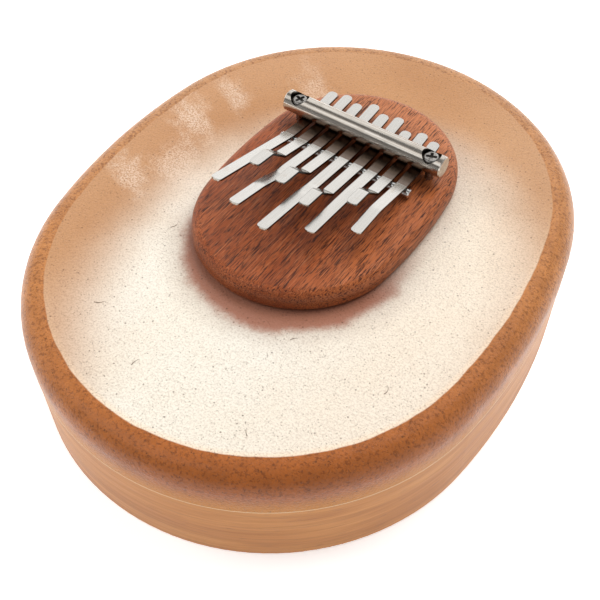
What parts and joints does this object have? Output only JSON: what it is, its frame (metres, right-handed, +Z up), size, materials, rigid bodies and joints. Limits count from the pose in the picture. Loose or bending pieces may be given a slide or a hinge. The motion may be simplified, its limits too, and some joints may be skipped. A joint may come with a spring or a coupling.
{
  "type": "mbira on a skin drum",
  "caption": "Hand-held mbira: a small hardwood board with plucked spring steel tines, mounted on the skin of a shallow oval frame drum that acts as its resonator.",
  "frame": {"origin": "centre of the drum's base, on the surface that it stands on", "axes": "+Y the long way, towards the pressure bar; -Y the player's side; +X to the right; +Z up"},
  "size_m": [0.17, 0.21, 0.0664],
  "materials": {
    "frame_wood": "satin lacquered light hardwood, grain along the rim",
    "skin": "translucent goat skin, glossy, fine grain",
    "board_wood": "oiled reddish hardwood with short dark flecks",
    "plate_wood": "plain sanded wood",
    "tine_steel": "satin spring steel",
    "bar_steel": "turned stainless steel with lengthwise streaks",
    "rod_steel": "polished steel rod",
    "screw_steel": "zinc plated steel"
  },
  "bodies": {
    "drum": {"frame_ring": "frame_wood", "skin_head": "skin", "tine_board": "board_wood", "front_bridge": "rod_steel", "back_bridge": "rod_steel", "pressure_bar": "bar_steel", "bar_screw_left": "screw_steel", "bar_screw_right": "screw_steel", "under_plate": "plate_wood", "mount_screw_front": "screw_steel", "mount_screw_back": "screw_steel", "tine_1_heel": "tine_steel", "tine_2_heel": "tine_steel", "tine_3_heel": "tine_steel", "tine_4_heel": "tine_steel", "tine_5_heel": "tine_steel", "tine_6_heel": "tine_steel", "tine_7_heel": "tine_steel", "tine_8_heel": "tine_steel", "tine_9_heel": "tine_steel"},
    "tongue_1": {"tine_1_tongue": "tine_steel"},
    "tongue_2": {"tine_2_tongue": "tine_steel"},
    "tongue_3": {"tine_3_tongue": "tine_steel"},
    "tongue_4": {"tine_4_tongue": "tine_steel"},
    "tongue_5": {"tine_5_tongue": "tine_steel"},
    "tongue_6": {"tine_6_tongue": "tine_steel"},
    "tongue_7": {"tine_7_tongue": "tine_steel"},
    "tongue_8": {"tine_8_tongue": "tine_steel"},
    "tongue_9": {"tine_9_tongue": "tine_steel"}
  },
  "joints": [
    {"name": "pluck_1", "type": "hinge", "parent": "drum", "child": "tongue_1", "pos_m": [-0.02118, 0.02209, 0.05387], "axis": [0.999, -0.0436, 0], "range_deg": [-2, 4], "stiffness_Nm_per_rad": 0.4},
    {"name": "pluck_2", "type": "hinge", "parent": "drum", "child": "tongue_2", "pos_m": [-0.01545, 0.02184, 0.05387], "axis": [0.999, -0.0436, 0], "range_deg": [-2, 4], "stiffness_Nm_per_rad": 0.4},
    {"name": "pluck_3", "type": "hinge", "parent": "drum", "child": "tongue_3", "pos_m": [-0.00973, 0.02159, 0.05387], "axis": [0.999, -0.0436, 0], "range_deg": [-2, 4], "stiffness_Nm_per_rad": 0.4},
    {"name": "pluck_4", "type": "hinge", "parent": "drum", "child": "tongue_4", "pos_m": [-0.00401, 0.02134, 0.05387], "axis": [0.999, -0.0436, 0], "range_deg": [-2, 4], "stiffness_Nm_per_rad": 0.4},
    {"name": "pluck_5", "type": "hinge", "parent": "drum", "child": "tongue_5", "pos_m": [0.00172, 0.02109, 0.05387], "axis": [0.999, -0.0436, 0], "range_deg": [-2, 4], "stiffness_Nm_per_rad": 0.4},
    {"name": "pluck_6", "type": "hinge", "parent": "drum", "child": "tongue_6", "pos_m": [0.00744, 0.02084, 0.05387], "axis": [0.999, -0.0436, 0], "range_deg": [-2, 4], "stiffness_Nm_per_rad": 0.4},
    {"name": "pluck_7", "type": "hinge", "parent": "drum", "child": "tongue_7", "pos_m": [0.01317, 0.02059, 0.05387], "axis": [0.999, -0.0436, 0], "range_deg": [-2, 4], "stiffness_Nm_per_rad": 0.4},
    {"name": "pluck_8", "type": "hinge", "parent": "drum", "child": "tongue_8", "pos_m": [0.01889, 0.02034, 0.05387], "axis": [0.999, -0.0436, 0], "range_deg": [-2, 4], "stiffness_Nm_per_rad": 0.4},
    {"name": "pluck_9", "type": "hinge", "parent": "drum", "child": "tongue_9", "pos_m": [0.02462, 0.02009, 0.05387], "axis": [0.999, -0.0436, 0], "range_deg": [-2, 4], "stiffness_Nm_per_rad": 0.4}
  ]
}
